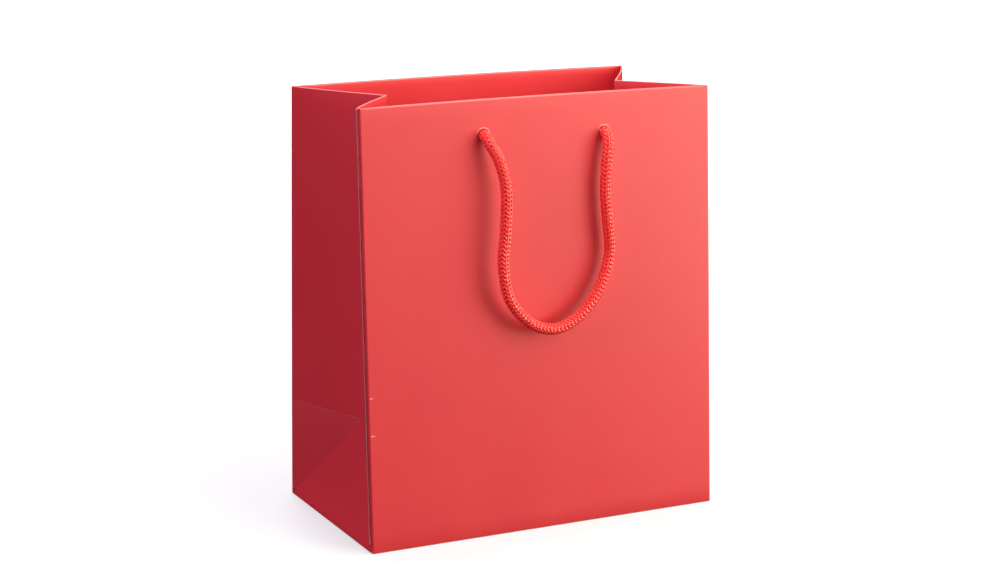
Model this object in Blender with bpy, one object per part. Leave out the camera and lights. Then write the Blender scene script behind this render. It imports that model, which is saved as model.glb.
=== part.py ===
"""A paper gift bag with creased side gussets, a folded base, turned-in hems and a rope handle.

The bag stands on the XY plane with its base centred on the origin. Its front faces -Y and its
handle hangs there. Each panel is a flat sheet that leans in from the crease along its foot.
"""

from math import cos, hypot, pi, radians, tan

import bmesh
import bpy
from mathutils import Matrix, Vector

# The bag, in metres
WIDTH = 0.185
DEPTH = 0.106
PANEL_HEIGHT = 0.210
LEAN = radians(2.58)

# The sheets
PAPER = 0.0004
HEM_BOARD = 0.0010
BASE_BOARD = 0.0012
GAP = 0.0003

# The turned-in top hem and the stiffening board inside it
HEM_DROP = 0.036
HEM_BOARD_DROP = 0.032
HEM_END_INSET = 0.0045

# The side gussets: two diagonal creases run up from the foot and meet at the fork, where the centre
# crease and the level crease start. The centre crease sinks in further up to the mouth.
FORK_DEPTH = 0.0175
FORK_HEIGHT = 0.0500
MOUTH_DEPTHS = {"left": 0.0318, "right": 0.0278}
CREASE_DIP = 0.0014
CREASE_GAP = 0.00015
CORNER_INSET = 0.0007
GUSSET_ROWS = 6
GUSSET_HEM_INSET = 0.0042

# The glued side seam at the front left corner
SEAM_BAND = 0.0030
SEAM_FLAP_WIDTH = 0.017
SEAM_FLAP_START = 0.0045

# The folded base
FLAP_REACH = 0.068
FLAP_CORNER_CUT = 0.022
FLAP_INSET = 0.0007
BASE_BOARD_INSET = 0.0026

# The rope handle and its holes
HOLE_RADIUS = 0.0034
ROPE_RADIUS = 0.0030
ROPE_POINT_SPACING = 0.0068
HANDLE_AXIS_STAND_OFF = 0.0030
KNOT_RADII = (0.0064, 0.0056, 0.0060)
TAIL_LENGTH = 0.013
TAIL_SWAY = 0.0012

# Everything between a panel's outer face and its hem's inner face
HEM_STACK = 2 * PAPER + HEM_BOARD + 2 * GAP
ROPE_END_DEPTH = HEM_STACK + 0.0002
KNOT_DEPTH = ROPE_END_DEPTH + GAP + KNOT_RADII[1]

# The rope holes: across the panel and down from its top edge
HOLES = {
    "front": ((-0.0300, 0.0163), (0.0340, 0.0190)),
    "back": ((-0.0300, 0.0190), (0.0340, 0.0190)),
}

# The handle's route on the front panel: across, down from the top edge, out from the paper
HANDLE_ROUTE = (
    (-0.0300, 0.0163, -ROPE_END_DEPTH),
    (-0.0300, 0.0163, 0.0016),
    (-0.0296, 0.0195, 0.0054),
    (-0.0267, 0.0270, 0.0088),
    (-0.0240, 0.0400, 0.0104),
    (-0.0246, 0.0600, 0.0105),
    (-0.0260, 0.0770, 0.0102),
    (-0.0225, 0.0940, 0.0098),
    (-0.0110, 0.1065, 0.0092),
    (0.0020, 0.1103, 0.0086),
    (0.0150, 0.1055, 0.0079),
    (0.0265, 0.0930, 0.0072),
    (0.0326, 0.0770, 0.0065),
    (0.0318, 0.0600, 0.0062),
    (0.0310, 0.0450, 0.0060),
    (0.0322, 0.0320, 0.0058),
    (0.0336, 0.0224, 0.0045),
    (0.0340, 0.0190, 0.0016),
    (0.0340, 0.0190, -ROPE_END_DEPTH),
)

TOP = PANEL_HEIGHT * cos(LEAN)
SIDES = {"left": -1, "right": 1}
FACES = {"front": -1, "back": 1}


def clear_scene():
    for obj in list(bpy.data.objects):
        bpy.data.objects.remove(obj, do_unlink=True)


def new_material(name, colour, roughness):
    material = bpy.data.materials.new(name)
    material.use_nodes = True
    shader = material.node_tree.nodes["Principled BSDF"]
    shader.inputs["Base Color"].default_value = (*colour, 1.0)
    shader.inputs["Roughness"].default_value = roughness
    shader.inputs["Metallic"].default_value = 0.0
    material.diffuse_color = (*colour, 1.0)
    return material


def add_object(name, mesh, material, parent=None):
    obj = bpy.data.objects.new(name, mesh)
    obj.data.materials.append(material)
    bpy.context.scene.collection.objects.link(obj)
    obj.parent = parent
    return obj


def add_empty(name, location, rotation, parent=None):
    empty = bpy.data.objects.new(name, None)
    empty.location = location
    empty.rotation_euler = rotation
    empty.empty_display_size = 0.02
    bpy.context.scene.collection.objects.link(empty)
    empty.parent = parent
    return empty


def mesh_from(build, name):
    """Runs a bmesh builder and returns its mesh with the normals turned outwards."""
    work = bmesh.new()
    build(work)
    bmesh.ops.recalc_face_normals(work, faces=work.faces)
    mesh = bpy.data.meshes.new(name)
    work.to_mesh(mesh)
    work.free()
    return mesh


def add_box(name, low, high, material, parent=None):
    low, high = Vector(low), Vector(high)

    def build(work):
        middle = (low + high) / 2
        scale = Matrix.Diagonal((*(high - low), 1.0))
        bmesh.ops.create_cube(work, size=1.0, matrix=Matrix.Translation(middle) @ scale)

    return add_object(name, mesh_from(build, name), material, parent)


def add_sheet(name, rows, offset, material):
    """A closed sheet through a grid of points, as thick as the offset vector."""

    def build(work):
        outer = [[work.verts.new(point) for point in row] for row in rows]
        inner = [[work.verts.new(point + offset) for point in row] for row in rows]
        last_row, last_column = len(rows) - 1, len(rows[0]) - 1
        for i in range(last_row):
            for j in range(last_column):
                for face in (outer, inner):
                    corners = (face[i][j], face[i][j + 1], face[i + 1][j + 1], face[i + 1][j])
                    work.faces.new(corners)
        for i in range(last_row):
            for j in (0, last_column):
                work.faces.new((outer[i][j], outer[i + 1][j], inner[i + 1][j], inner[i][j]))
        for j in range(last_column):
            for i in (0, last_row):
                work.faces.new((outer[i][j], outer[i][j + 1], inner[i][j + 1], inner[i][j]))

    return add_object(name, mesh_from(build, name), material)


def add_plate(name, outline, bottom, thickness, material):
    """A flat plate from an XY outline."""

    def build(work):
        corners = [work.verts.new((x, y, bottom)) for x, y in outline]
        face = work.faces.new(corners)
        grown = bmesh.ops.extrude_face_region(work, geom=[face])
        lifted = [part for part in grown["geom"] if isinstance(part, bmesh.types.BMVert)]
        bmesh.ops.translate(work, verts=lifted, vec=(0.0, 0.0, thickness))

    return add_object(name, mesh_from(build, name), material)


# ---- Front and back panels -------------------------------------------------


def add_crease_empty(face):
    """An empty on the foot crease: X across the panel, Y into the bag and Z up the panel."""
    turn = 0.0 if face == "front" else pi
    location = (0.0, FACES[face] * DEPTH / 2, 0.0)
    return add_empty(f"{face}_crease_axis", location, (-LEAN, 0.0, turn))


def add_hole_cutters(face, crease):
    """Two punches for the rope holes, along the panel's own Y."""
    cutters = []
    for x, drop in HOLES[face]:
        centre = Vector((-FACES[face] * x, HEM_STACK / 2, PANEL_HEIGHT - drop))
        place = Matrix.Translation(centre) @ Matrix.Rotation(pi / 2, 4, "X")

        def build(work, place=place):
            bmesh.ops.create_cone(
                work,
                cap_ends=True,
                segments=32,
                radius1=HOLE_RADIUS,
                radius2=HOLE_RADIUS,
                depth=4 * HEM_STACK,
                matrix=place,
            )

        name = f"{face}_hole_punch_{len(cutters) + 1}"
        cutter = bpy.data.objects.new(name, mesh_from(build, name))
        bpy.context.scene.collection.objects.link(cutter)
        cutter.parent = crease
        cutter.hide_render = True
        cutter.display_type = "WIRE"
        cutters.append(cutter)
    return cutters


def punch(sheet, cutters):
    for cutter in cutters:
        cut = sheet.modifiers.new(cutter.name, "BOOLEAN")
        cut.operation = "DIFFERENCE"
        cut.object = cutter


def add_panel(face, crease, materials):
    """A panel with its stiffening board and turned-in hem behind it, all with rope holes."""
    half = WIDTH / 2
    inner_half = half - HEM_END_INSET
    board_front = PAPER + GAP
    hem_front = board_front + HEM_BOARD + GAP
    sheets = (
        add_box(
            f"{face}_panel",
            (-half, 0.0, 0.0),
            (half, PAPER, PANEL_HEIGHT),
            materials["red_paper"],
            crease,
        ),
        add_box(
            f"{face}_hem_board",
            (-inner_half, board_front, PANEL_HEIGHT - HEM_BOARD_DROP),
            (inner_half, board_front + HEM_BOARD, PANEL_HEIGHT - GAP),
            materials["grey_board"],
            crease,
        ),
        add_box(
            f"{face}_hem",
            (-inner_half, hem_front, PANEL_HEIGHT - HEM_DROP),
            (inner_half, hem_front + PAPER, PANEL_HEIGHT),
            materials["red_paper"],
            crease,
        ),
    )
    cutters = add_hole_cutters(face, crease)
    for sheet in sheets:
        punch(sheet, cutters)


# ---- Side gussets ----------------------------------------------------------


def corner_y(height):
    """How far from the centre plane the outer corner of the bag stands at a height."""
    return DEPTH / 2 - tan(LEAN) * height


def gusset_depth(side, from_centre, height):
    """How far the gusset has sunk in at a place on it, above the diagonal creases."""
    if height < FORK_HEIGHT:
        slack = corner_y(height) - from_centre
        return FORK_DEPTH * slack / corner_y(FORK_HEIGHT)
    rise = (height - FORK_HEIGHT) / (TOP - FORK_HEIGHT)
    crease = FORK_DEPTH + (MOUTH_DEPTHS[side] - FORK_DEPTH) * rise
    return crease * (1.0 - from_centre / corner_y(height))


def gusset_point(side, face, from_centre, height, layer):
    """A point on a gusset half, as deep into the bag as its layer of paper lies."""
    x = WIDTH / 2 - layer - gusset_depth(side, from_centre, height)
    dip = CREASE_DIP * (1.0 - from_centre / corner_y(height)) * max(0.0, height - FORK_HEIGHT) / TOP
    return Vector((SIDES[side] * x, FACES[face] * from_centre, height - dip))


def inwards(side):
    """From a gusset sheet's outer face to its inner face."""
    return Vector((-SIDES[side] * PAPER, 0.0, 0.0))


def row_heights(low, high):
    """Even heights up a gusset strip, with one on the level crease if the strip crosses it."""
    start = max(low, FORK_HEIGHT)
    heights = [low] if low < start else []
    return heights + [start + (high - start) * k / (GUSSET_ROWS - 1) for k in range(GUSSET_ROWS)]


def add_gusset_strip(name, side, face, heights, corner_inset, width, layer, material):
    """A strip of a gusset half, running in from the corner, or to the crease with no width."""
    rows = []
    for height in heights:
        outer = corner_y(height) - corner_inset
        inner = CREASE_GAP if width is None else outer - width
        rows.append([gusset_point(side, face, y, height, layer) for y in (inner, outer)])
    return add_sheet(name, rows, inwards(side), material)


def inset_outline(corners, insets):
    """The corners of a flat outline once each edge has moved in by its own inset."""
    lines = []
    for (ax, ay), (bx, by), inset in zip(corners, corners[1:] + corners[:1], insets):
        length = hypot(bx - ax, by - ay)
        normal = ((ay - by) / length, (bx - ax) / length)
        lines.append((*normal, normal[0] * ax + normal[1] * ay + inset))
    moved = []
    for (a, b, c), (d, e, f) in zip(lines[-1:] + lines[:-1], lines):
        det = a * e - b * d
        moved.append(((c * e - b * f) / det, (a * f - c * d) / det))
    return moved


def add_facet(name, side, points, material):
    """A flat sheet through the corners of a facet."""

    def build(work):
        outer = [work.verts.new(point) for point in points]
        inner = [work.verts.new(point + inwards(side)) for point in points]
        work.faces.new(outer)
        work.faces.new(inner)
        for k in range(len(points)):
            n = (k + 1) % len(points)
            work.faces.new((outer[k], outer[n], inner[n], inner[k]))

    return add_object(name, mesh_from(build, name), material)


def add_gusset_foot(side, material):
    """The triangle below the two diagonal creases, which leans in from the base."""
    half = DEPTH / 2
    corners = [(-half, 0.0), (half, 0.0), (0.0, FORK_HEIGHT)]
    outline = inset_outline(corners, (0.0, CREASE_GAP, CREASE_GAP))
    outline[0] = (CORNER_INSET - half, 0.0)
    outline[1] = (half - CORNER_INSET, 0.0)
    points = []
    for y, z in outline:
        x = WIDTH / 2 - FORK_DEPTH * z / FORK_HEIGHT
        points.append(Vector((SIDES[side] * x, y, z)))
    return add_facet(f"{side}_gusset_foot", side, points, material)


def add_gusset_low(side, face, corner_inset, material):
    """The facet between a diagonal crease, the level crease and the bag's corner."""
    corners = [(0.0, FORK_HEIGHT), (DEPTH / 2, 0.0), (corner_y(FORK_HEIGHT), FORK_HEIGHT)]
    outline = inset_outline(corners, (CREASE_GAP, corner_inset, CREASE_GAP))
    points = [gusset_point(side, face, y, z, 0.0) for y, z in outline]
    return add_facet(f"{side}_gusset_{face}_low", side, points, material)


def add_gusset(side, face, materials):
    """Half of a side gusset above its foot, and the half hem turned in behind its top edge."""
    has_seam = side == "left" and face == "front"
    corner_inset = SEAM_BAND if has_seam else CORNER_INSET
    add_gusset_low(side, face, corner_inset, materials["red_paper"])
    add_gusset_strip(
        f"{side}_gusset_{face}",
        side,
        face,
        row_heights(FORK_HEIGHT + CREASE_GAP, TOP),
        corner_inset,
        None,
        0.0,
        materials["red_paper"],
    )
    add_gusset_strip(
        f"{side}_gusset_hem_{face}",
        side,
        face,
        row_heights(TOP - HEM_DROP, TOP),
        GUSSET_HEM_INSET,
        None,
        PAPER + GAP,
        materials["red_paper"],
    )


def add_seam_flap(materials):
    """The front sheet's glue flap, which turns the corner and runs under the left gusset."""

    def flap_point(height, width):
        from_centre = corner_y(height) - CORNER_INSET - width
        return gusset_point("left", "front", from_centre, height, PAPER + GAP)

    width = SEAM_FLAP_WIDTH
    rows = [[flap_point(SEAM_FLAP_START + width, width), flap_point(SEAM_FLAP_START, 0.0)]]
    for height in row_heights(FORK_HEIGHT, TOP - HEM_DROP - GAP):
        rows.append([flap_point(height, width), flap_point(height, 0.0)])
    add_sheet("side_seam_flap", rows, inwards("left"), materials["red_paper"])


# ---- Base ------------------------------------------------------------------


def add_base(materials):
    """Four glued flaps, layered from the outside in, with a loose board on top of them."""
    layer = PAPER + GAP
    half_width = WIDTH / 2 - 2 * layer - GAP
    half_depth = DEPTH / 2 - PAPER - GAP
    cut = FLAP_CORNER_CUT
    for level, face in enumerate(FACES):
        crease = FACES[face] * (half_depth - level * GAP)
        free = crease - FACES[face] * FLAP_REACH
        shoulder = free + FACES[face] * cut
        outline = (
            (-half_width, crease),
            (half_width, crease),
            (half_width, shoulder),
            (half_width - cut, free),
            (cut - half_width, free),
            (-half_width, shoulder),
        )
        add_plate(f"base_flap_{face}", outline, level * layer, PAPER, materials["red_paper"])
    side_half_depth = half_depth - FLAP_INSET
    for side, sign in SIDES.items():
        crease, free = sign * half_width, sign * (half_width - FLAP_REACH)
        outline = (
            (crease, -side_half_depth),
            (crease, side_half_depth),
            (free, side_half_depth - cut),
            (free, cut - side_half_depth),
        )
        add_plate(f"base_flap_{side}", outline, 2 * layer, PAPER, materials["red_paper"])
    board_half_width = WIDTH / 2 - BASE_BOARD_INSET
    board_half_depth = DEPTH / 2 - BASE_BOARD_INSET
    add_box(
        "base_board",
        (-board_half_width, -board_half_depth, 3 * layer),
        (board_half_width, board_half_depth, 3 * layer + BASE_BOARD),
        materials["red_board"],
    )


# ---- Rope handle -----------------------------------------------------------


def panel_point(across, drop, out):
    """A place on the front panel in its crease's frame."""
    return Vector((across, -out, PANEL_HEIGHT - drop))


def smooth_curve(guides, steps=24):
    """Many points along a centripetal Catmull-Rom curve, from the second guide to the last but one."""
    curve = []
    for a, b, c, d in zip(guides, guides[1:], guides[2:], guides[3:]):
        t1 = (b - a).length ** 0.5
        t2 = t1 + (c - b).length ** 0.5
        t3 = t2 + (d - c).length ** 0.5
        for step in range(steps):
            t = t1 + (t2 - t1) * step / steps
            ab = a.lerp(b, t / t1)
            bc = b.lerp(c, (t - t1) / (t2 - t1))
            cd = c.lerp(d, (t - t2) / (t3 - t2))
            abc = ab.lerp(bc, t / t2)
            bcd = bc.lerp(cd, (t - t1) / (t3 - t1))
            curve.append(abc.lerp(bcd, (t - t1) / (t2 - t1)))
    return [*curve, guides[-2]]


def spaced_points(curve, spacing):
    """Evenly spaced points along a fine curve, including both of its ends."""
    lengths = [0.0]
    for a, b in zip(curve, curve[1:]):
        lengths.append(lengths[-1] + (b - a).length)
    count = max(2, round(lengths[-1] / spacing) + 1)
    spaced, i = [], 0
    for k in range(count):
        target = lengths[-1] * k / (count - 1)
        while i < len(curve) - 2 and lengths[i + 1] < target:
            i += 1
        share = (target - lengths[i]) / (lengths[i + 1] - lengths[i])
        spaced.append(curve[i].lerp(curve[i + 1], share))
    return spaced


def add_rope(name, points, material, parent):
    curve = bpy.data.curves.new(name, "CURVE")
    curve.dimensions = "3D"
    curve.bevel_depth = ROPE_RADIUS
    curve.bevel_resolution = 3
    curve.use_fill_caps = True
    spline = curve.splines.new("POLY")
    spline.points.add(len(points) - 1)
    for place, point in zip(spline.points, points):
        place.co = (*point, 1.0)
    return add_object(name, curve, material, parent)


def add_handle(crease, materials):
    """The hanging loop, whose origin lies midway between the two holes."""
    left, right = (panel_point(*hole, HANDLE_AXIS_STAND_OFF) for hole in HOLES["front"])
    axis = (left + right) / 2
    hinge = add_empty("handle_axis", axis, (0.0, 0.0, 0.0), crease)
    route = [panel_point(*place) - axis for place in HANDLE_ROUTE]
    loop = spaced_points(smooth_curve(route), ROPE_POINT_SPACING)
    add_rope("handle_rope", [route[0], *loop, route[-1]], materials["red_rope"], hinge)


def add_knot(side, hole, crease, materials):
    """A knot behind its hole and the short tail that hangs from it."""
    centre = panel_point(*hole, -KNOT_DEPTH)

    def build(work):
        place = Matrix.Translation(centre) @ Matrix.Diagonal((*KNOT_RADII, 1.0))
        bmesh.ops.create_uvsphere(work, u_segments=16, v_segments=10, radius=1.0, matrix=place)

    name = f"handle_knot_{side}"
    knot = add_object(name, mesh_from(build, name), materials["red_rope"], crease)
    knot.data.shade_smooth()
    start = centre - Vector((0.0, 0.0, KNOT_RADII[2] + GAP))
    sway = Vector((SIDES[side] * TAIL_SWAY, 0.0, 0.0))
    tail = [start - Vector((0.0, 0.0, TAIL_LENGTH * k / 3)) + sway * (k / 3) ** 2 for k in range(4)]
    add_rope(f"handle_tail_{side}", tail, materials["red_rope"], crease)


def build_bag():
    clear_scene()
    materials = {
        "red_paper": new_material("red_paper", (0.72, 0.055, 0.06), 0.38),
        "grey_board": new_material("grey_board", (0.36, 0.34, 0.31), 0.85),
        "red_board": new_material("red_board", (0.66, 0.05, 0.055), 0.45),
        "red_rope": new_material("red_rope", (0.74, 0.03, 0.035), 0.6),
    }
    creases = {face: add_crease_empty(face) for face in FACES}
    for face, crease in creases.items():
        add_panel(face, crease, materials)
    for side in SIDES:
        add_gusset_foot(side, materials["red_paper"])
        for face in FACES:
            add_gusset(side, face, materials)
    add_seam_flap(materials)
    add_base(materials)
    add_handle(creases["front"], materials)
    for side, hole in zip(SIDES, HOLES["front"]):
        add_knot(side, hole, creases["front"], materials)


build_bag()
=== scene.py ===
from math import acos, atan, ceil, cos, pi, radians, sin, sqrt, tan

import bmesh
import bpy
import numpy as np
from mathutils import Matrix, Vector


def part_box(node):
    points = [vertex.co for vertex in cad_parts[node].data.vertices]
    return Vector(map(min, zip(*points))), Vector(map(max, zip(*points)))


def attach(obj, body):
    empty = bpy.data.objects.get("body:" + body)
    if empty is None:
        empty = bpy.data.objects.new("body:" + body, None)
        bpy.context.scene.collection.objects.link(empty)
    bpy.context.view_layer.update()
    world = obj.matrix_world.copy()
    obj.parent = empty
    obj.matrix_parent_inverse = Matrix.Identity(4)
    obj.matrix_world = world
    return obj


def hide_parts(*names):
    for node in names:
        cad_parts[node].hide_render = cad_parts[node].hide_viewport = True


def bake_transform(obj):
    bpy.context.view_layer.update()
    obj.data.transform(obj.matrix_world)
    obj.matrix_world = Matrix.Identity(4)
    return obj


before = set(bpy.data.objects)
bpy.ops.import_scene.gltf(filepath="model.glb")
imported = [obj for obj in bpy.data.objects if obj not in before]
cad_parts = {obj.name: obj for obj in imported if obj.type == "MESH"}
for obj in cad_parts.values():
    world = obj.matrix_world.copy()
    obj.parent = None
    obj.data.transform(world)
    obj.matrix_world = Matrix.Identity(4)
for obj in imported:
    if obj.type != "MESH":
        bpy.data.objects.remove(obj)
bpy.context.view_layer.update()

# ---- The bag's sizes, in metres, from the CAD frame --------------------------

PANEL_LOW, PANEL_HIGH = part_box("front_panel")
WIDTH = PANEL_HIGH.x - PANEL_LOW.x
DEPTH = -2 * PANEL_LOW.y
TOP = PANEL_HIGH.z
LEAN = radians(2.58)
PANEL_HEIGHT = TOP / cos(LEAN)

# The gussets' creases
FORK_DEPTH = 0.0175
FORK_HEIGHT = 0.0500
MOUTH_DEPTHS = {"left": 0.0318, "right": 0.0278}
CREASE_DIP = 0.0014

# Paper, folds and stack thicknesses
PAPER = 0.00034
FOLD_RADIUS = 0.0008
PANEL_STACK = 0.0024
GUSSET_STACK = 0.00080
HEM_DROP = 0.036
CORNER_RADIUS = 0.0006
CORNER_STEPS = 6
FOOT_RADIUS = 0.0004
FOOT_STEPS = 4
FOOT_END_GAP = 0.0007
FOLD_STEPS = 6
HEM_STEPS = 12
JOINT = 0.00003
THINNEST = 0.00002

# The stack swells from the gusset's thickness to the panel's over this stretch of the top edge
STACK_SWELLS = 0.0010
STACK_NARROWS = 0.0045

# How far the paper strays from flat
TOP_BOW = 0.0006
MOUTH_CURL = 0.0011

# How far the paper is rubbed through, from 0, sound, to 1, down to its pale core; the low facets' value
# is painted sheen
FOLD_WEAR = 0.35
WEAR_STEP = 0.2
HEM_FOLD_WEAR = 0.1
CREASE_WEAR = 0.05
FOOT_WEAR = 0.3
# Painted sheen: the low gusset facets are made paler towards their top, in place of the floor's
# reflection
LOW_FACET_PAINTED_SHEEN = 0.045
PANEL_RIM_WEAR = 0.45

# The stiffening board inside each top hem
HEM_BOARD_THICKNESS = 0.0010
HEM_BOARD_HEIGHT = 0.0312
HEM_BOARD_DROP = 0.0005
HEM_BOARD_DEPTH = 0.0012
HEM_BOARD_END_GAP = 0.0055

# The seam at the front left corner
SEAM_BAND = 0.0030
SEAM_STEP = 0.00042
SEAM_SINK = 0.00035
SEAM_LIFT = 0.00014
SEAM_FLAP_WIDTH = 0.017
SEAM_FLAP_START = 0.0045
SEAM_FLAP_INSET = 0.0007
SEAM_FLAP_COVERED = 0.0045
SEAM_LIFT_REACH = 0.0015
MARGIN = 0.0012
SEAM_MARGIN = 0.0038

# The two scuffs in the corner's fold: height above the floor and length
SCUFFS = ((0.0747, 0.0026), (0.0567, 0.0032))

# The rope and its holes
HOLE_RADIUS = 0.0034
ROPE_RADIUS = 0.0030
ROPE_END_DEPTH = 0.0026

PUNCH_LENGTH = 0.012
KNOT_ROPE_RADIUS = 0.0026
LIP_WIDTH = 0.00030
LIP_HEIGHT = 0.00014
LIP_INSET = 0.00006

# The knit: columns of V stitches, each V made of two leaves. Sizes are half sizes.
WALES = 6
STITCH_PITCH = 0.0020
STITCH_TILT = radians(27)
LEAF_LONG, LEAF_WIDE, LEAF_THICK = 0.00155, 0.00072, 0.00080
CORE_SHARE = 0.78
CORE_STEP = 0.0016

SIDES = {"left": -1, "right": 1}
FACES = {"front": -1, "back": 1}

# The camera looks down on the front left corner
CAMERA_PLACE = (-0.4856, -0.9946, 0.3582)
CAMERA_DOWN = radians(12.55)
CAMERA_TURN = radians(26.03)
CAMERA_LENS = 82.13

# The floor glows a little more from near the bag to the white around it: distance and strength
GLOW_NEAR = (0.5, 0.49)
GLOW_FAR = (1.8, 1.02)
FLOOR_RADIUS = 9.0
FLOOR_GAP = 0.0002

# The rope holes: across the panel and down from its top edge
HOLES = {
    "front": ((-0.0300, 0.0163), (0.0340, 0.0190)),
    "back": ((-0.0300, 0.0190), (0.0340, 0.0190)),
}

# The handle's route on the front panel: across, down from the top edge, out from the paper
HANDLE_ROUTE = (
    (-0.0300, 0.0163, -ROPE_END_DEPTH),
    (-0.0300, 0.0163, 0.0016),
    (-0.0296, 0.0195, 0.0054),
    (-0.0267, 0.0270, 0.0088),
    (-0.0240, 0.0400, 0.0104),
    (-0.0246, 0.0600, 0.0105),
    (-0.0260, 0.0770, 0.0102),
    (-0.0225, 0.0940, 0.0098),
    (-0.0110, 0.1065, 0.0092),
    (0.0020, 0.1103, 0.0086),
    (0.0150, 0.1055, 0.0079),
    (0.0265, 0.0930, 0.0072),
    (0.0326, 0.0770, 0.0065),
    (0.0318, 0.0600, 0.0062),
    (0.0310, 0.0450, 0.0060),
    (0.0322, 0.0320, 0.0058),
    (0.0336, 0.0224, 0.0045),
    (0.0340, 0.0190, 0.0016),
    (0.0340, 0.0190, -ROPE_END_DEPTH),
)


# ---- Materials ---------------------------------------------------------------


def shader_nodes(name, roughness):
    material = bpy.data.materials.new(name)
    material.use_nodes = True
    nodes, links = material.node_tree.nodes, material.node_tree.links
    shader = nodes["Principled BSDF"]
    shader.inputs["Roughness"].default_value = roughness
    return material, nodes, links, shader


def add_noise(nodes, links, scale, detail, stretch=(1.0, 1.0, 1.0)):
    """Procedural noise in the object's own space."""
    place = nodes.new("ShaderNodeTexCoord")
    mapping = nodes.new("ShaderNodeMapping")
    mapping.inputs["Scale"].default_value = stretch
    links.new(place.outputs["Object"], mapping.inputs["Vector"])
    made = nodes.new("ShaderNodeTexNoise")
    made.inputs["Scale"].default_value = scale
    made.inputs["Detail"].default_value = detail
    links.new(mapping.outputs["Vector"], made.inputs["Vector"])
    return made


def add_range(nodes, links, source, low, high):
    """Maps 0.3..0.7 of a noise to a low and a high value."""
    node = nodes.new("ShaderNodeMapRange")
    node.inputs["From Min"].default_value = 0.3
    node.inputs["From Max"].default_value = 0.7
    node.inputs["To Min"].default_value = low
    node.inputs["To Max"].default_value = high
    links.new(source, node.inputs["Value"])
    return node.outputs["Result"]


def add_mix(nodes, links, factor, a, b):
    """A colour mix; a and b are colours or sockets."""
    node = nodes.new("ShaderNodeMix")
    node.data_type = "RGBA"
    links.new(factor, node.inputs["Factor"])
    for socket, value in ((node.inputs[6], a), (node.inputs[7], b)):
        if isinstance(value, tuple):
            socket.default_value = (*value, 1.0)
        else:
            links.new(value, socket)
    return node.outputs[2]


def add_bump(nodes, links, shader, height, strength, distance):
    bump = nodes.new("ShaderNodeBump")
    bump.inputs["Strength"].default_value = strength
    bump.inputs["Distance"].default_value = distance
    links.new(height, bump.inputs["Height"])
    links.new(bump.outputs["Normal"], shader.inputs["Normal"])


def paper_material():
    """Satin laminated red paper, paler where a fold or an edge is rubbed through, and paler with
    painted sheen on the low gusset facets.
    """
    material, nodes, links, shader = shader_nodes("laminated_red_paper", 0.42)
    cloud = add_noise(nodes, links, 18.0, 3.0)
    tone = add_range(nodes, links, cloud.outputs["Fac"], 0.0, 1.0)
    base = add_mix(nodes, links, tone, (0.610, 0.0300, 0.0380), (0.635, 0.0330, 0.0415))
    wear_and_sheen_amount = nodes.new("ShaderNodeAttribute")
    wear_and_sheen_amount.attribute_name = "wear_and_sheen"
    speck = add_noise(nodes, links, 900.0, 2.0)
    patchy = nodes.new("ShaderNodeMath")
    patchy.operation = "MULTIPLY"
    links.new(wear_and_sheen_amount.outputs["Fac"], patchy.inputs[0])
    links.new(add_range(nodes, links, speck.outputs["Fac"], 0.75, 1.0), patchy.inputs[1])
    # Towards the pale core colour: real rubbing on the folds and edges, painted sheen on the low gusset
    # facets
    colour = add_mix(nodes, links, patchy.outputs["Value"], base, (0.93, 0.30, 0.30))
    links.new(colour, shader.inputs["Base Color"])
    smear = add_noise(nodes, links, 60.0, 4.0)
    links.new(add_range(nodes, links, smear.outputs["Fac"], 0.38, 0.46), shader.inputs["Roughness"])
    shader.inputs["Specular IOR Level"].default_value = 0.45
    fibre = add_noise(nodes, links, 1400.0, 3.0, (1.0, 1.0, 0.45))
    add_bump(nodes, links, shader, fibre.outputs["Fac"], 0.10, 0.00004)
    return material


def edge_material(name, dark, light):
    """The paper's cut edge, where the pale core shows through the red."""
    material, nodes, links, shader = shader_nodes(name, 0.8)
    speck = add_noise(nodes, links, 2500.0, 2.0)
    tone = add_range(nodes, links, speck.outputs["Fac"], 0.0, 1.0)
    links.new(add_mix(nodes, links, tone, dark, light), shader.inputs["Base Color"])
    add_bump(nodes, links, shader, speck.outputs["Fac"], 0.3, 0.00005)
    return material


def board_material(name, dark, light, roughness):
    """Pressed board with visible fibres."""
    material, nodes, links, shader = shader_nodes(name, roughness)
    fibre = add_noise(nodes, links, 420.0, 5.0, (1.0, 0.25, 1.0))
    tone = add_range(nodes, links, fibre.outputs["Fac"], 0.0, 1.0)
    links.new(add_mix(nodes, links, tone, dark, light), shader.inputs["Base Color"])
    add_bump(nodes, links, shader, fibre.outputs["Fac"], 0.25, 0.00008)
    return material


def rope_material(name, dark, light):
    """Knitted synthetic yarn: soft sheen and fine filaments along each stitch."""
    material, nodes, links, shader = shader_nodes(name, 0.34)
    yarn = add_noise(nodes, links, 1600.0, 3.0, (1.0, 1.0, 0.3))
    tone = add_range(nodes, links, yarn.outputs["Fac"], 0.0, 1.0)
    links.new(add_mix(nodes, links, tone, dark, light), shader.inputs["Base Color"])
    shader.inputs["Specular IOR Level"].default_value = 0.7
    shader.inputs["Sheen Weight"].default_value = 0.10
    shader.inputs["Sheen Roughness"].default_value = 0.3
    shader.inputs["Sheen Tint"].default_value = (1.0, 0.5, 0.35, 1.0)
    add_bump(nodes, links, shader, yarn.outputs["Fac"], 0.2, 0.00006)
    return material


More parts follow.
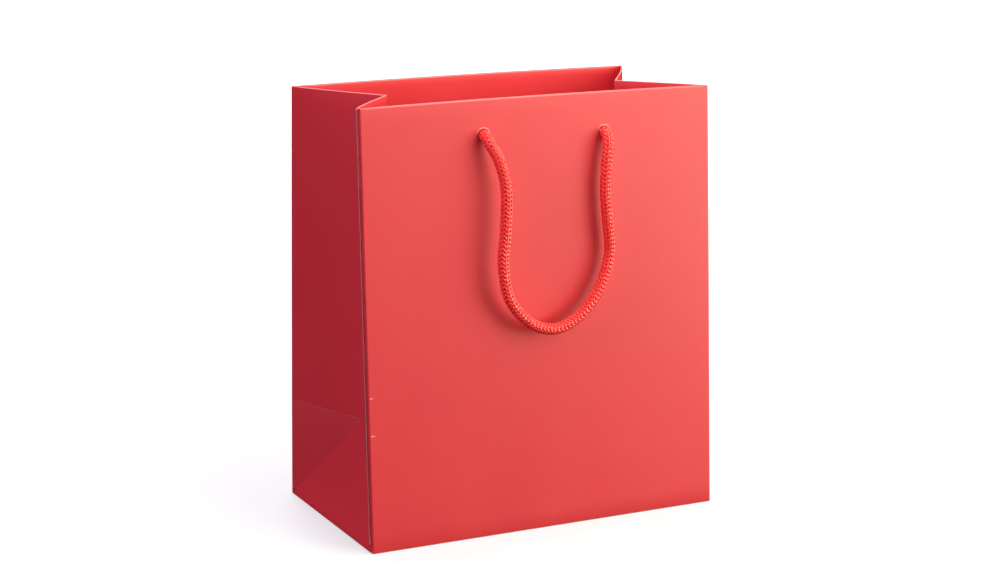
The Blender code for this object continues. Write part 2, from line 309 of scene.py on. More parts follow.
MATERIALS = {
    "paper": paper_material(),
    "edge": edge_material("paper_cut_edge", (0.94, 0.40, 0.40), (0.98, 0.56, 0.55)),
    "lip": edge_material("paper_lip", (0.92, 0.24, 0.22), (0.97, 0.34, 0.32)),
    "grey_board": board_material("grey_fibre_board", (0.30, 0.28, 0.25), (0.42, 0.40, 0.36), 0.85),
    "red_board": board_material("red_fibre_board", (0.52, 0.018, 0.026), (0.62, 0.03, 0.04), 0.5),
    "rope": rope_material("knitted_red_rope", (0.84, 0.024, 0.024), (0.98, 0.058, 0.047)),
    # The core's dark red is painted shade: it darkens the gaps between the stitches
    "rope_core_painted_shade": rope_material("rope_core_painted_shade", (0.36, 0.004, 0.010), (0.44, 0.007, 0.013)),
}


# ---- Mesh building -----------------------------------------------------------


def add_object(name, mesh, *materials):
    obj = bpy.data.objects.new(name, mesh)
    for key in materials:
        mesh.materials.append(MATERIALS[key])
    bpy.context.scene.collection.objects.link(obj)
    return obj


def grid_faces(rows, columns, start, flip):
    faces = []
    for i in range(rows - 1):
        for j in range(columns - 1):
            a = start + i * columns + j
            quad = (a, a + 1, a + columns + 1, a + columns)
            faces.append(quad[::-1] if flip else quad)
    return faces


def sheet_data(outer, inner, wear_and_sheen):
    """Vertices, faces, per-point paleness (rubbing and painted sheen) and edge-face flags of a closed
    sheet between two grids of points.
    """
    rows, columns = len(outer), len(outer[0])
    points = [p for row in outer for p in row] + [p for row in inner for p in row]
    half = rows * columns
    faces = grid_faces(rows, columns, 0, False) + grid_faces(rows, columns, half, True)
    sheet_faces = len(faces)
    loop = [j for j in range(columns)]
    loop += [i * columns + columns - 1 for i in range(1, rows)]
    loop += [(rows - 1) * columns + j for j in range(columns - 2, -1, -1)]
    loop += [i * columns for i in range(rows - 2, 0, -1)]
    for a, b in zip(loop, loop[1:] + loop[:1]):
        faces.append((b, a, half + a, half + b))
    wear_and_sheen_amount = [w for row in wear_and_sheen for w in row]
    flags = [0] * sheet_faces + [1] * (len(faces) - sheet_faces)
    return points, faces, wear_and_sheen_amount + wear_and_sheen_amount, flags


def add_sheet(name, outer, inner, wear_and_sheen, rim="edge"):
    """A closed paper sheet whose rim shows the paper's core."""
    points, faces, wear_and_sheen_amount, flags = sheet_data(outer, inner, wear_and_sheen)
    mesh = bpy.data.meshes.new(name)
    mesh.from_pydata([tuple(p) for p in points], [], faces)
    mesh.polygons.foreach_set("material_index", flags)
    mesh.attributes.new("wear_and_sheen", "FLOAT", "POINT").data.foreach_set("value", wear_and_sheen_amount)
    turn_outwards(mesh)
    mesh.shade_smooth()
    mesh.set_sharp_from_angle(angle=radians(30))
    return add_object(name, mesh, "paper", rim)


def turn_outwards(mesh):
    work = bmesh.new()
    work.from_mesh(mesh)
    if work.calc_volume(signed=True) < 0:
        bmesh.ops.reverse_faces(work, faces=work.faces)
    work.to_mesh(mesh)
    work.free()


# ---- The folded sheet's shape --------------------------------------------------


def corner_y(height):
    """How far from the centre plane the bag's corner stands at a height."""
    return DEPTH / 2 - tan(LEAN) * height


def sink_ratio(side, height):
    """How fast the gusset sinks in as it leaves the corner, per metre towards the centre."""
    if height <= FORK_HEIGHT:
        return FORK_DEPTH / corner_y(FORK_HEIGHT)
    return crease_depth(side, height) / corner_y(height)


def diagonal_y(height):
    """How far from the centre plane a gusset half ends, at the diagonal or the centre crease."""
    return max(0.0, DEPTH / 2 * (1 - height / FORK_HEIGHT))


def crease_depth(side, height):
    """How deep the centre crease lies at a height above the fork."""
    rise = (height - FORK_HEIGHT) / (TOP - FORK_HEIGHT)
    return FORK_DEPTH + (MOUTH_DEPTHS[side] - FORK_DEPTH) * rise


def dipped(from_centre, height):
    """A gusset point's real height: the gusset's top edge dips towards its crease."""
    sunk = max(0.0, 1.0 - from_centre / corner_y(height))
    return height - CREASE_DIP * sunk * max(0.0, height - FORK_HEIGHT) / TOP


def mouth_curl(share, height):
    """How far a gusset half bulges outwards between its corner and its crease."""
    rise = max(0.0, (height - FORK_HEIGHT) / (TOP - FORK_HEIGHT))
    return MOUTH_CURL * rise * sin(pi * share**0.7)


def seam_lift(from_edge):
    """How far the cut edge of the seam stands up from the corner."""
    return SEAM_LIFT * max(0.0, 1.0 - from_edge / SEAM_LIFT_REACH)


def fold_profile(stack, start, count):
    """Outer and inner (depth, height) pairs up a sheet, over its top fold and down its hem.

    A sheet with no start height begins at the base with the fold round the bag's foot.
    """
    radius = min(FOLD_RADIUS, stack / 2)
    inner_radius = max(radius - PAPER, 2 * THINNEST)
    outer, inner, wear_and_sheen_amount = [], [], []
    if start is None:
        inner_foot_radius = FOOT_RADIUS / 8
        for k in range(FOOT_STEPS):
            a = pi / 2 * k / FOOT_STEPS
            for path, r in ((outer, FOOT_RADIUS), (inner, inner_foot_radius)):
                path.append((FOOT_RADIUS - r * sin(a), FOOT_RADIUS - r * cos(a)))
            wear_and_sheen_amount.append(FOLD_WEAR)
        start = FOOT_RADIUS
    last = TOP - radius
    for k in range(count + 1):
        height = start + (last - start) * k / count
        outer.append((0.0, height))
        inner.append((PAPER, height))
        wear_and_sheen_amount.append(0.0)
    for k in range(1, FOLD_STEPS + 1):
        a = pi / 2 * k / FOLD_STEPS
        for path, r in ((outer, radius), (inner, inner_radius)):
            path.append((radius - r * cos(a), last + r * sin(a)))
        wear_and_sheen_amount.append(min(1.0, FOLD_WEAR + k * WEAR_STEP))
    for k in range(1, FOLD_STEPS + 1):
        a = pi / 2 * k / FOLD_STEPS
        for path, r in ((outer, radius), (inner, inner_radius)):
            path.append((stack - radius + r * sin(a), last + r * cos(a)))
        wear_and_sheen_amount.append(min(1.0, FOLD_WEAR + (FOLD_STEPS - k) * WEAR_STEP))
    wear_and_sheen_amount[-1] = HEM_FOLD_WEAR
    for k in range(1, HEM_STEPS + 1):
        height = last - (HEM_DROP - radius) * k / HEM_STEPS
        outer.append((stack, height))
        inner.append((stack - PAPER, height))
        wear_and_sheen_amount.append(0.0)
    return outer, inner, wear_and_sheen_amount


def corner_fillet(ratio, height, depth, inset):
    """The rounded corner in plan, for a front right corner: arc points from the panel to the gusset."""
    gusset = Vector((-ratio, 1.0)).normalized()
    panel = Vector((-1.0, 0.0))
    half_angle = acos(panel.dot(gusset)) / 2
    radius = max(CORNER_RADIUS - depth, 4 * THINNEST)
    corner = Vector((WIDTH / 2 - inset, -corner_y(height)))
    centre = corner + (panel + gusset).normalized() * (depth + radius) / sin(half_angle)
    first, last = -pi / 2, atan(ratio)
    return [
        centre + radius * Vector((cos(a), sin(a)))
        for a in (first + (last - first) * k / CORNER_STEPS for k in range(CORNER_STEPS + 1))
    ]


def margin_reach(margin, height):
    """How far a panel sheet's margin runs on to the side: it tapers off towards the foot."""
    return min(margin, THINNEST + 0.9 * height)


def margin_point(ratio, height, depth, inset, margin):
    """The end of the panel sheet's margin on the gusset, for a front right corner."""
    gusset = Vector((-ratio, 1.0)).normalized()
    reach = margin_reach(margin, height)
    sunk = depth * sqrt(1 + ratio**2) + (SEAM_SINK if inset else 0.0) * reach / margin
    start = corner_fillet(ratio, height, 0.0, inset)[-1]
    return start + gusset * reach - Vector((sunk, 0.0))


def seam_band(height):
    """How wide the front sheet shows on the side at the seam: it tapers off towards the foot."""
    return min(SEAM_BAND, 0.6 * height)


def margin_start(side, height, seam):
    """How far a gusset sheet starts from the centre plane, at a height."""
    if seam:
        return corner_y(height) - seam_band(height)
    ratio = sink_ratio(side, height)
    gusset = Vector((-ratio, 1.0)).normalized()
    start = corner_fillet(ratio, height, 0.0, 0.0)[-1]
    end = start + gusset * (margin_reach(MARGIN, height) + JOINT)
    return -end.y


# ---- Front and back panels -----------------------------------------------------


def panel_shares():
    """Places across a panel as shares of its width, closer together near its ends."""
    ends = [0.0015, 0.006, 0.012, 0.018, 0.026, 0.036]
    first, steps = 0.05, 24
    middle = [first + (1.0 - 2 * first) * k / steps for k in range(steps + 1)]
    return ends + middle + [1.0 - e for e in reversed(ends)]


def stack_at(share):
    """The stack's thickness across a panel, thin at the corners where no board reaches."""
    from_end = min(share, 1.0 - share) * WIDTH
    rise = min(1.0, max(0.0, (from_end - STACK_SWELLS) / (STACK_NARROWS - STACK_SWELLS)))
    return GUSSET_STACK + (PANEL_STACK - GUSSET_STACK) * rise * rise * (3 - 2 * rise)


def panel_column(place, share, layer, stack, face):
    """One point of the panel sheet's plan. place is a corner arc index, a margin or the panel."""
    depth, height = layer
    points = {}
    for side in SIDES:
        seam = side == "left" and face == "front"
        inset = SEAM_STEP if seam else 0.0
        ratio = 0.0 if seam else sink_ratio(side, height)
        arc = corner_fillet(ratio, height, depth, inset)
        margin = margin_point(ratio, height, depth, inset, SEAM_MARGIN if seam else MARGIN)
        points[side] = (arc, margin)
    kind, side, k = place
    if kind == "arc":
        point, sign = points[side][0][k], SIDES[side]
    elif kind == "margin":
        point, sign = points[side][1], SIDES[side]
    else:
        left = -points["left"][0][0].x
        right = points["right"][0][0].x
        point, sign = Vector((left + (right - left) * share, points["right"][0][0].y)), 1
    x, y = sign * point.x, point.y
    z = dipped(-y, height) if kind == "margin" else height
    z += TOP_BOW * 4 * share * (1.0 - share) * (height / TOP) ** 6
    return Vector((x, -FACES[face] * y, z))


def panel_sheet(face):
    """The panel from its foot fold up over the mouth to its hem, with its two corner folds."""
    arc = range(CORNER_STEPS + 1)
    places = [("margin", "left", 0)]
    places += [("arc", "left", k) for k in reversed(arc)]
    places += [("flat", None, 0)] * len(panel_shares())
    places += [("arc", "right", k) for k in arc]
    places.append(("margin", "right", 0))
    shares = [0.0] * (len(arc) + 1) + panel_shares() + [1.0] * (len(arc) + 1)
    columns = []
    for place, share in zip(places, shares):
        stack = stack_at(share)
        outer, inner, wear_and_sheen_amount = fold_profile(stack, None, 26)
        wear_and_sheen_amount = [PANEL_RIM_WEAR * value for value in wear_and_sheen_amount]
        columns.append(
            (
                [panel_column(place, share, layer, stack, face) for layer in outer],
                [panel_column(place, share, layer, stack, face) for layer in inner],
                wear_and_sheen_amount,
            )
        )
    outer = [list(row) for row in zip(*(c[0] for c in columns))]
    inner = [list(row) for row in zip(*(c[1] for c in columns))]
    wear_and_sheen_amount = [list(row) for row in zip(*(c[2] for c in columns))]
    return add_sheet(f"{face}_panel_sheet", outer, inner, wear_and_sheen_amount)


def panel_point(face, across, drop, out):
    """A place on a panel: across it, down from its top edge and out from its outer face."""
    up = PANEL_HEIGHT - drop
    y = DEPTH / 2 - up * sin(LEAN) + out * cos(LEAN)
    return Vector((across, FACES[face] * y, up * cos(LEAN) + out * sin(LEAN)))


def punch_holes(obj, face):
    """Cuts the rope holes through a sheet and gives their walls the cut-edge material."""
    for x, drop in HOLES[face]:
        centre = panel_point(face, x, drop, 0.0)
        work = bmesh.new()
        place = Matrix.Translation(centre) @ Matrix.Rotation(pi / 2 + FACES[face] * LEAN, 4, "X")
        bmesh.ops.create_cone(
            work,
            cap_ends=True,
            segments=48,
            radius1=HOLE_RADIUS,
            radius2=HOLE_RADIUS,
            depth=PUNCH_LENGTH,
            matrix=place,
        )
        mesh = bpy.data.meshes.new("punch")
        work.to_mesh(mesh)
        work.free()
        cutter = bpy.data.objects.new("punch", mesh)
        mesh.materials.append(MATERIALS["edge"])
        bpy.context.scene.collection.objects.link(cutter)
        cut = obj.modifiers.new("punch", "BOOLEAN")
        cut.object = cutter
        cut.operation = "DIFFERENCE"
        cut.solver = "EXACT"
        cut.material_mode = "TRANSFER"
        bake_modifiers(obj)
        bpy.data.objects.remove(cutter)


def bake_modifiers(obj):
    """Replaces an object's mesh with its evaluated one and drops its modifiers."""
    graph = bpy.context.evaluated_depsgraph_get()
    mesh = bpy.data.meshes.new_from_object(obj.evaluated_get(graph), depsgraph=graph)
    obj.modifiers.clear()
    obj.data = mesh


def add_hem_board(face):
    """The stiffening board that the hem wraps, with eased edges."""
    low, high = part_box(f"{face}_hem_board")
    length = high.x - low.x - 2 * HEM_BOARD_END_GAP
    size = (length, HEM_BOARD_THICKNESS, HEM_BOARD_HEIGHT, 1.0)
    work = bmesh.new()
    bmesh.ops.create_cube(work, size=1.0, matrix=Matrix.Diagonal(size))
    eased = HEM_BOARD_THICKNESS / 4
    bmesh.ops.bevel(work, geom=work.edges[:], offset=eased, segments=2, affect="EDGES")
    mesh = bpy.data.meshes.new(f"{face}_hem_stiffener")
    work.to_mesh(mesh)
    work.free()
    drop = HEM_BOARD_DROP + HEM_BOARD_HEIGHT / 2
    centre = panel_point(face, 0.0, drop, -HEM_BOARD_DEPTH)
    mesh.transform(Matrix.Translation(centre) @ Matrix.Rotation(FACES[face] * LEAN, 4, "X"))
    return add_object(f"{face}_hem_stiffener", mesh, "grey_board", "edge")


def add_hole_lips(face):
    """The punched paper's pale lip round each rope hole, widest above the rope."""
    points, faces = [], []
    around, section = 48, 6
    for x, drop in HOLES[face]:
        start = len(points)
        for i in range(around):
            a = 2 * pi * i / around
            full = 0.25 + 0.75 * max(0.0, cos(a)) ** 0.7
            for j in range(section):
                b = 2 * pi * j / section
                reach = HOLE_RADIUS + LIP_INSET + LIP_WIDTH * full * cos(b)
                out = LIP_HEIGHT * full * sin(b)
                points.append(panel_point(face, x + reach * sin(a), drop - reach * cos(a), out))
        for i in range(around):
            for j in range(section):
                p, q = i * section, (i + 1) % around * section
                n = (j + 1) % section
                faces.append((start + p + j, start + q + j, start + q + n, start + p + n))
    mesh = bpy.data.meshes.new(f"{face}_hole_lips")
    mesh.from_pydata([tuple(p) for p in points], [], faces)
    turn_outwards(mesh)
    mesh.shade_smooth()
    lips = add_object(f"{face}_hole_lips", mesh, "lip")
    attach(lips, face)


def add_panel(face):
    sheet = panel_sheet(face)
    punch_holes(sheet, face)
    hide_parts(f"{face}_panel", f"{face}_hem")
    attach(sheet, face)
    board = add_hem_board(face)
    punch_holes(board, face)
    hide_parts(f"{face}_hem_board")
    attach(board, face)
    add_hole_lips(face)


# ---- Side gussets ----------------------------------------------------------------


def gusset_columns(start, end, count):
    """Places from a gusset sheet's outer edge to its crease, with narrow ones at both ends."""
    near = 0.00035
    first, last = start - near, end + near
    inner = [first + (last - first) * k / count for k in range(count + 1)]
    return [start, *inner, end]


def gusset_place(side, face, from_centre, height, depth, lift=0.0):
    """A point of a gusset half above the diagonal creases, at a depth below its outer face."""
    ratio = sink_ratio(side, height)
    slack = corner_y(height) - from_centre
    if side == "left" and face == "front":
        full = corner_y(height) - diagonal_y(height)
        band = seam_band(height)
        slack = full * (slack - band) / (full - band)
    x = WIDTH / 2 - ratio * slack - depth * sqrt(1 + ratio**2) + lift
    y = FACES[face] * from_centre
    return Vector((SIDES[side] * x, y, dipped(from_centre, height)))


def gusset_blend(obj):
    """Bakes the sheet's placement into its mesh."""
    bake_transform(obj)


def low_blend(obj):
    """Bakes the facet's placement into its mesh."""
    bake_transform(obj)


def add_gusset_half(side, face):
    """A gusset half above the fork: its outer face, its folded top edge and its hem."""
    seam = side == "left" and face == "front"
    outer_path, inner_path, wear_and_sheen_amount = fold_profile(GUSSET_STACK, FORK_HEIGHT + JOINT, 22)
    outer, inner, wear_and_sheen = [], [], []
    for path, rows in ((outer_path, outer), (inner_path, inner)):
        for depth, height in path:
            start = margin_start(side, height, seam)
            columns = gusset_columns(start, JOINT, 14)
            row = []
            for y in columns:
                lift = mouth_curl((start - y) / (start - JOINT), height)
                lift += seam_lift(start - y) if seam and rows is outer else 0.0
                row.append(gusset_place(side, face, y, height, depth, lift))
            rows.append(row)
    for value in wear_and_sheen_amount:
        row = [value] * len(outer[0])
        row[-1] = max(value, CREASE_WEAR)
        row[0] = 1.0 if seam else value
        wear_and_sheen.append(row)
    sheet = add_sheet(f"{side}_gusset_{face}_sheet", outer, inner, wear_and_sheen)
    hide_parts(f"{side}_gusset_{face}", f"{side}_gusset_hem_{face}")
    gusset_blend(sheet)


def add_low_facet(side, face):
    """The facet between the diagonal crease, the level crease and the corner, with painted sheen paler
    towards its top.
    """
    seam = side == "left" and face == "front"
    first = 0.0042 if seam else 0.0028
    count, across = 16, 12
    outer, inner, wear_and_sheen = [], [], []
    for depth, rows in ((0.0, outer), (PAPER, inner)):
        for k in range(count + 1):
            height = first + (FORK_HEIGHT - JOINT - first) * k / count
            start = margin_start(side, height, seam)
            end = diagonal_y(height) + JOINT
            columns = [start + (end - start) * j / across for j in range(across + 1)]
            row = []
            for y in columns:
                lift = seam_lift(start - y) if seam and rows is outer else 0.0
                row.append(gusset_place(side, face, y, height, depth, lift))
            rows.append(row)
    for k in range(count + 1):
        # Painted sheen: the pale core colour rises towards the facet's top and fades out towards the
        # foot
        row = [LOW_FACET_PAINTED_SHEEN * (k / count) ** 2] * (across + 1)
        row[0] = 1.0 if seam else row[0]
        wear_and_sheen.append(row)
    sheet = add_sheet(f"{side}_gusset_{face}_low_sheet", outer, inner, wear_and_sheen)
    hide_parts(f"{side}_gusset_{face}_low")
    low_blend(sheet)


def add_gusset_foot(side):
    """The triangle that leans in from the base up to the fork."""
    outer, inner, wear_and_sheen = [], [], []
    across, up = 24, 20
    lean = FORK_DEPTH / FORK_HEIGHT
    slope = sqrt(1 + lean**2)
    tip = FORK_HEIGHT - 0.0002
    rows = [(FOOT_RADIUS * (1 - sin(a)), FOOT_RADIUS * (1 - cos(a))) for a in (0.0, pi / 8, pi / 4)]
    rows += [(0.0, FOOT_RADIUS + (tip - FOOT_RADIUS) * (k / up)) for k in range(up + 1)]
    for extra, grid in ((0.0, outer), (PAPER, inner)):
        for depth, height in rows:
            half = max(diagonal_y(height) - JOINT, THINNEST)
            half = min(half, DEPTH / 2 - FOOT_END_GAP)
            x = WIDTH / 2 - lean * height - (depth + extra) * slope
            z = height + (extra if depth > 0.0 else 0.0)
            row = []
            for j in range(across + 1):
                y = half * (2 * j / across - 1)
                row.append(Vector((SIDES[side] * x, y, z)))
            grid.append(row)
    for k in range(len(rows)):
        wear_and_sheen.append([FOOT_WEAR if k < 2 else 0.0] * (across + 1))
    sheet = add_sheet(f"{side}_gusset_foot_sheet", outer, inner, wear_and_sheen)
    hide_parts(f"{side}_gusset_foot")
    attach(sheet, "bag")


def add_seam_flap():
    """The front sheet's glue flap behind the left gusset, above and below the level crease."""
    layer = SEAM_STEP + JOINT

    def strip(name, heights):
        outer, inner = [], []
        for depth, rows in ((layer, outer), (layer + PAPER, inner)):
            for height, width in heights:
                start = corner_y(height) - SEAM_FLAP_INSET - SEAM_FLAP_COVERED
                ys = [start + (SEAM_FLAP_COVERED - width) * j / 4 for j in range(5)]
                rows.append([gusset_place("left", "front", y, height, depth) for y in ys])
        return add_sheet(name, outer, inner, [[0.0] * 5 for _ in heights], "paper")

    top = TOP - HEM_DROP - GUSSET_STACK
    width = SEAM_FLAP_WIDTH
    steps = 8
    upper = strip(
        "seam_flap_upper",
        [(FORK_HEIGHT + JOINT + (top - FORK_HEIGHT) * k / steps, width) for k in range(steps + 1)],
    )
    full_width_at = SEAM_FLAP_START + width
    heights = (0.010, 0.016, full_width_at, 0.030, 0.040, FORK_HEIGHT - JOINT)
    lower = strip("seam_flap_lower", [(h, min(width, h - SEAM_FLAP_START)) for h in heights])
    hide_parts("side_seam_flap")
    gusset_blend(upper)
    low_blend(lower)


def add_scuffs():
    """Two small cracks in the front fold of the left corner, where the paper's core shows."""
    points, faces = [], []
    for height, length in SCUFFS:
        start = len(points)
        drop = PANEL_HEIGHT - height / cos(LEAN)
        left = -WIDTH / 2 + SEAM_STEP + 0.0003
        for across, up, out in (
            (0.0, 0.0, 0.0),
            (length * 0.35, 0.00024, 0.0),
            (length, 0.00005, 0.0),
            (length * 0.30, -0.00022, 0.0),
            (length * 0.35, 0.0, 0.00008),
            (length * 0.35, 0.0, -0.00008),
        ):
            points.append(panel_point("front", left + across, drop - up, out))
        for a, b in ((0, 1), (1, 2), (2, 3), (3, 0)):
            faces.append((start + a, start + b, start + 4))
            faces.append((start + b, start + a, start + 5))
    mesh = bpy.data.meshes.new("corner_scuffs")
    mesh.from_pydata([tuple(p) for p in points], [], faces)
    turn_outwards(mesh)
    scuffs = add_object("corner_scuffs", mesh, "edge")
    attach(scuffs, "front")


# ---- Base --------------------------------------------------------------------------


def add_base():
    """The loose board in the bag's foot, with eased edges and clipped corners."""
    low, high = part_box("base_board")
    size = high - low
    work = bmesh.new()
    bmesh.ops.create_cube(work, size=1.0, matrix=Matrix.Diagonal((*size, 1.0)))
    upright = [e for e in work.edges if abs(e.verts[0].co.z - e.verts[1].co.z) > size.z / 2]
    bmesh.ops.bevel(work, geom=upright, offset=0.0022, segments=3, affect="EDGES")
    level = [e for e in work.edges if abs(e.verts[0].co.z - e.verts[1].co.z) < size.z / 2]
    bmesh.ops.bevel(work, geom=level, offset=0.0003, segments=2, affect="EDGES")
    mesh = bpy.data.meshes.new("base_board_sheet")
    work.to_mesh(mesh)
    work.free()
    mesh.transform(Matrix.Translation((low + high) / 2))
    board = add_object("base_board_sheet", mesh, "red_board")
    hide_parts("base_board")
    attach(board, "bag")
    for name in ("base_flap_front", "base_flap_back", "base_flap_left", "base_flap_right"):
        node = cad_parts[name]
        node.data.materials.clear()
        node.data.materials.append(MATERIALS["paper"])


# ---- Knitted rope --------------------------------------------------------------------


def smooth_curve(guides, steps=24):
    """Many points along a centripetal Catmull-Rom curve, from the second guide to the last but one."""
    curve = []
    for a, b, c, d in zip(guides, guides[1:], guides[2:], guides[3:]):
        t1 = (b - a).length ** 0.5
        t2 = t1 + (c - b).length ** 0.5
        t3 = t2 + (d - c).length ** 0.5
        for step in range(steps):
            t = t1 + (t2 - t1) * step / steps
            ab = a.lerp(b, t / t1)
            bc = b.lerp(c, (t - t1) / (t2 - t1))
            cd = c.lerp(d, (t - t2) / (t3 - t2))
            abc = ab.lerp(bc, t / t2)
            bcd = bc.lerp(cd, (t - t1) / (t3 - t1))
            curve.append(abc.lerp(bcd, (t - t1) / (t2 - t1)))
    return [*curve, guides[-2]]


class RopeLine:
    """A rope's centre line with a frame that doesn't twist, sampled by length."""

    def __init__(self, points, spacing=0.0005):
        fine = np.array(points, float)
        steps = np.linalg.norm(np.diff(fine, axis=0), axis=1)
        lengths = np.concatenate([[0.0], np.cumsum(steps)])
        self.length = lengths[-1]
        count = int(ceil(self.length / spacing)) + 1
        self.at = np.linspace(0.0, self.length, count)
        self.centre = np.stack([np.interp(self.at, lengths, fine[:, k]) for k in range(3)], axis=1)
        tangent = np.gradient(self.centre, axis=0)
        tangent /= np.linalg.norm(tangent, axis=1)[:, None]
        side = np.cross(tangent[0], (0.3, 0.9, 0.2))
        side /= np.linalg.norm(side)
        sides = [side]
        for t in tangent[1:]:
            side = sides[-1] - t * np.dot(sides[-1], t)
            sides.append(side / np.linalg.norm(side))
        self.u = np.array(sides)
        self.v = np.cross(tangent, self.u)

    def place(self, along, angle, radius):
        """Points at a length along the line, an angle round it and a radius from it."""
        along = np.clip(along, 0.0, self.length)
        parts = []
        for table in (self.centre, self.u, self.v):
            parts.append(np.stack([np.interp(along, self.at, table[:, k]) for k in range(3)], axis=-1))
        centre, u, v = parts
        around = np.cos(angle)[..., None] * u + np.sin(angle)[..., None] * v
        return centre + around * radius[..., None]


def stitch_shape():
    """One leaf of a stitch: unit points along, across and up, with its faces."""
    rings, around = 5, 6
    points, faces = [(-1.0, 0.0, 0.0)], []
    for i in range(1, rings):
        a = pi * i / rings
        for j in range(around):
            b = 2 * pi * j / around
            points.append((-cos(a), sin(a) * cos(b), sin(a) * sin(b)))
    points.append((1.0, 0.0, 0.0))
    last = len(points) - 1
    for j in range(around):
        n = (j + 1) % around
        faces.append((0, 1 + n, 1 + j))
        for i in range(rings - 2):
            a, b = 1 + i * around, 1 + (i + 1) * around
            faces.append((a + j, a + n, b + n, b + j))
        end = 1 + (rings - 2) * around
        faces.append((last, end + j, end + n))
    return np.array(points), faces


def knitted_rope(name, points, radius=ROPE_RADIUS, turn=0.9):
    """A knitted rope along a line: columns of V stitches over a core coloured dark as painted shade in
    the gaps, turning by an angle.
    """
    line = RopeLine(points)
    leaf, leaf_faces = stitch_shape()
    scale = radius / ROPE_RADIUS
    rows = max(2, int(round(line.length / (STITCH_PITCH * scale))))
    row_length = line.length / rows
    half_gap = pi / WALES / 2
    long, wide, thick = LEAF_LONG * scale, LEAF_WIDE * scale, LEAF_THICK * scale
    surface = radius - thick * 1.06
    centres, angles, leans = [], [], []
    for row in range(rows):
        for wale in range(WALES):
            base = 2 * pi * wale / WALES + turn * row / rows
            shift = 0.25 * (wale % 2)
            for hand in (-1, 1):
                centres.append((row + 0.5 + shift) * row_length)
                angles.append(base + hand * half_gap)
                leans.append(hand * STITCH_TILT)
    centres, angles, leans = np.array(centres), np.array(angles), np.array(leans)
    a, b, c = leaf[:, 0] * long, leaf[:, 1] * wide, leaf[:, 2] * thick
    along = a[None] * np.cos(leans)[:, None] - b[None] * np.sin(leans)[:, None]
    across = a[None] * np.sin(leans)[:, None] + b[None] * np.cos(leans)[:, None]
    lift = c[None] + 0.10 * thick * np.sin(leaf[:, 0] * pi / 2)[None]
    stitched = line.place(centres[:, None] + along, angles[:, None] + across / surface, surface + lift)
    vertices = [stitched.reshape(-1, 3)]
    faces, flags = [], []
    for k in range(len(centres)):
        start = k * len(leaf)
        faces += [tuple(start + i for i in face) for face in leaf_faces]
    flags += [0] * len(faces)
    # The core, coloured dark as painted shade in the gaps between the stitches
    start = len(centres) * len(leaf)
    core_rings = max(3, int(line.length / CORE_STEP))
    around = 16
    core_at = np.linspace(0.0, line.length, core_rings)[:, None] * np.ones((1, around))
    core_angle = np.ones((core_rings, 1)) * (2 * pi * np.arange(around) / around)[None]
    core = line.place(core_at, core_angle, np.full(core_at.shape, radius * CORE_SHARE))
    vertices.append(core.reshape(-1, 3))
    for i in range(core_rings - 1):
        for j in range(around):
            n = (j + 1) % around
            p, q = start + i * around, start + (i + 1) * around
            faces.append((p + j, q + j, q + n, p + n))
    faces.append(tuple(start + j for j in range(around)))
    faces.append(tuple(start + (core_rings - 1) * around + j for j in reversed(range(around))))
    flags += [1] * (len(faces) - len(flags))
    mesh = bpy.data.meshes.new(name)
    mesh.from_pydata(np.concatenate(vertices).tolist(), [], faces)
    mesh.polygons.foreach_set("material_index", flags)
    mesh.shade_smooth()
    return add_object(name, mesh, "rope", "rope_core_painted_shade"), line


def knot_route(x, drop, sign):
    """An overhand knot behind a hole, and the short tail that hangs from it."""
    centre = panel_point("front", x, drop + 0.0005, -0.0091)
    inwards = (panel_point("front", 0, 0.05, -1.0) - panel_point("front", 0, 0.05, 0.0)).normalized()
    up = Vector((0.0, sin(LEAN), cos(LEAN)))
    side = Vector((sign, 0.0, 0.0))
    knot = []
    for k in range(15):
        t = radians(-132 + 300 * k / 14)
        a = sin(t) + 2 * sin(2 * t)
        b = cos(t) - 2 * cos(2 * t)
        c = -sin(3 * t)
        knot.append(centre + 0.00205 * (side * a + up * b) + 0.0021 * inwards * c)
    hole = panel_point("front", x, drop, -0.0022)
    lead = panel_point("front", x, drop, 0.0)
    down = knot[-1] - up * 0.0075 + side * 0.001 + inwards * 0.0012
    tail = [down, down - up * 0.0065 + side * 0.0006, down - up * 0.012]
    return [lead, hole, *knot, *tail]


def add_handle():
    route = [panel_point("front", *place) for place in HANDLE_ROUTE]
    line = [route[0], *smooth_curve(route), route[-1]]
    rope, rope_line = knitted_rope("handle_rope_knit", line)
    for side, (x, drop) in zip(SIDES, HOLES["front"]):
        points = smooth_curve(knot_route(x, drop, SIDES[side]), 10)
        knot, _ = knitted_rope(f"handle_knot_{side}_knit", points, KNOT_ROPE_RADIUS, 1.2)
        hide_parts(f"handle_knot_{side}", f"handle_tail_{side}")
        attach(knot, "front")
    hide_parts("handle_rope")
    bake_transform(rope)


# ---- Studio ----------------------------------------------------------------------------


def add_camera():
    camera = bpy.data.cameras.new("camera")
    camera.lens = CAMERA_LENS
    camera.sensor_width = 36.0
    obj = bpy.data.objects.new("camera", camera)
    obj.location = CAMERA_PLACE
    obj.rotation_euler = (pi / 2 - CAMERA_DOWN, 0.0, -CAMERA_TURN)
    bpy.context.scene.collection.objects.link(obj)
    bpy.context.scene.camera = obj


def add_light(
    name, direction, distance, size, power, colour, gloss=1.0, diffuse=True, target=(0.0, 0.0, 0.1)
):
    """A round soft box that faces a point of the bag from a direction."""
    light = bpy.data.lights.new(name, "AREA")
    light.shape = "DISK"
    light.size = size
    light.energy = power
    light.color = colour
    light.specular_factor = gloss
    obj = bpy.data.objects.new(name, light)
    away = Vector(direction).normalized()
    obj.location = Vector(target) + away * distance
    obj.rotation_mode = "QUATERNION"
    obj.rotation_quaternion = away.to_track_quat("Z", "Y")
    obj.visible_camera = False
    obj.visible_glossy = gloss > 0.0
    obj.visible_diffuse = diffuse
    bpy.context.scene.collection.objects.link(obj)


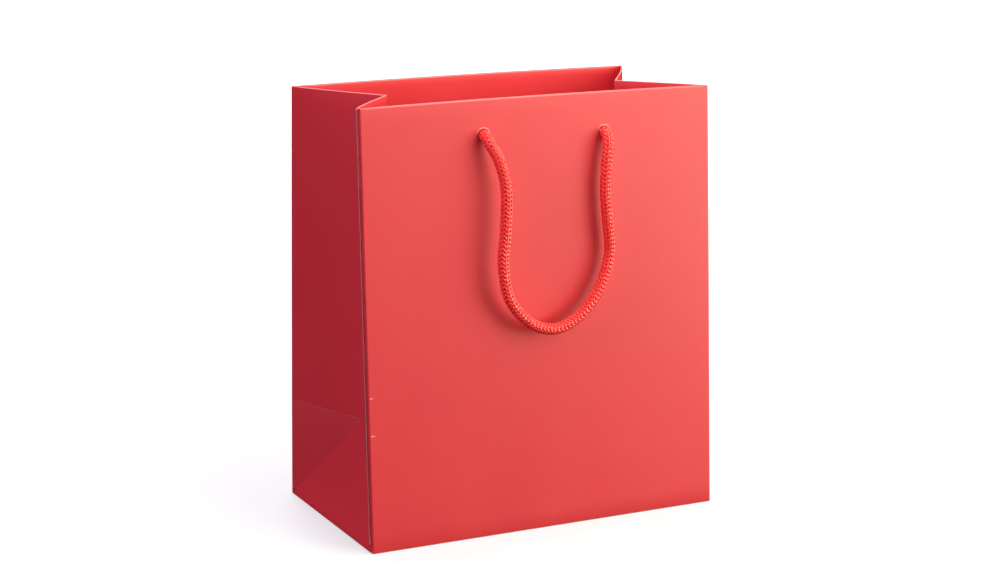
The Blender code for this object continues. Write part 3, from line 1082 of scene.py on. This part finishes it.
def add_world():
    """White behind everything for the camera; the bag is lit by the lamps alone."""
    world = bpy.data.worlds.new("studio")
    world.use_nodes = True
    background = world.node_tree.nodes["Background"]
    background.inputs["Color"].default_value = (1.0, 1.0, 1.0, 1.0)
    background.inputs["Strength"].default_value = 1.0
    bpy.context.scene.world = world
    world.cycles_visibility.diffuse = False
    world.cycles_visibility.glossy = False
    bpy.context.scene.view_settings.view_transform = "Standard"


def add_floor():
    """A pale floor that runs out to plain white, with a faint soft shadow near the bag."""
    mesh = bpy.data.meshes.new("floor")
    work = bmesh.new()
    bmesh.ops.create_circle(work, cap_ends=True, segments=96, radius=FLOOR_RADIUS)
    work.to_mesh(mesh)
    work.free()
    floor = bpy.data.objects.new("floor", mesh)
    floor.location.z = -FLOOR_GAP
    material, nodes, links, shader = shader_nodes("pale_floor", 0.9)
    shader.inputs["Base Color"].default_value = (0.42, 0.42, 0.42, 1.0)
    shader.inputs["Specular IOR Level"].default_value = 0.0
    shader.inputs["Emission Color"].default_value = (0.985, 0.985, 1.0, 1.0)
    place = nodes.new("ShaderNodeTexCoord")
    distance = nodes.new("ShaderNodeVectorMath")
    distance.operation = "LENGTH"
    links.new(place.outputs["Object"], distance.inputs[0])
    glow = nodes.new("ShaderNodeMapRange")
    glow.inputs["From Min"].default_value, glow.inputs["To Min"].default_value = GLOW_NEAR
    glow.inputs["From Max"].default_value, glow.inputs["To Max"].default_value = GLOW_FAR
    links.new(distance.outputs["Value"], glow.inputs["Value"])
    links.new(glow.outputs["Result"], shader.inputs["Emission Strength"])
    mesh.materials.append(material)
    bpy.context.scene.collection.objects.link(floor)
    floor.visible_glossy = False
    floor.visible_diffuse = False


def add_studio():
    warm, neutral, cool = (1.0, 0.99, 0.82), (1.0, 1.0, 1.0), (0.92, 0.95, 1.25)
    mouth = (0.01, 0.045, 0.190)
    add_light("key", (0.75, -0.55, 0.34), 1.35, 1.7, 22.5, warm, gloss=0.7)
    add_light("front_fill", (0.42, -0.90, 0.16), 2.0, 1.6, 26.0, warm, gloss=0.0)
    add_light("front_top", (0.20, -0.70, 0.90), 3.2, 2.2, 23.0, warm, gloss=0.0)
    add_light("mouth_fill", (0.10, -0.45, 0.90), 0.20, 0.14, 0.29, warm, target=mouth)
    add_light("overhead", (0.1, 0.1, 1.0), 2.4, 2.0, 24.0, neutral, gloss=0.0)
    add_light("left_fill", (-1.0, -0.20, 0.45), 1.8, 1.0, 21.2, cool, gloss=0.0)
    add_light("back_fill", (0.1, 1.0, 0.4), 2.4, 1.6, 70.0, neutral, gloss=0.0)
    add_light("sheen_card", (0.93, -0.66, -0.04), 1.4, 0.7, 17.0, warm, diffuse=False)
    add_world()
    add_floor()


def build():
    add_camera()
    add_handle()
    for face in FACES:
        add_panel(face)
    for side in SIDES:
        add_gusset_foot(side)
        for face in FACES:
            add_low_facet(side, face)
            add_gusset_half(side, face)
    add_seam_flap()
    add_scuffs()
    add_base()
    add_studio()


build()
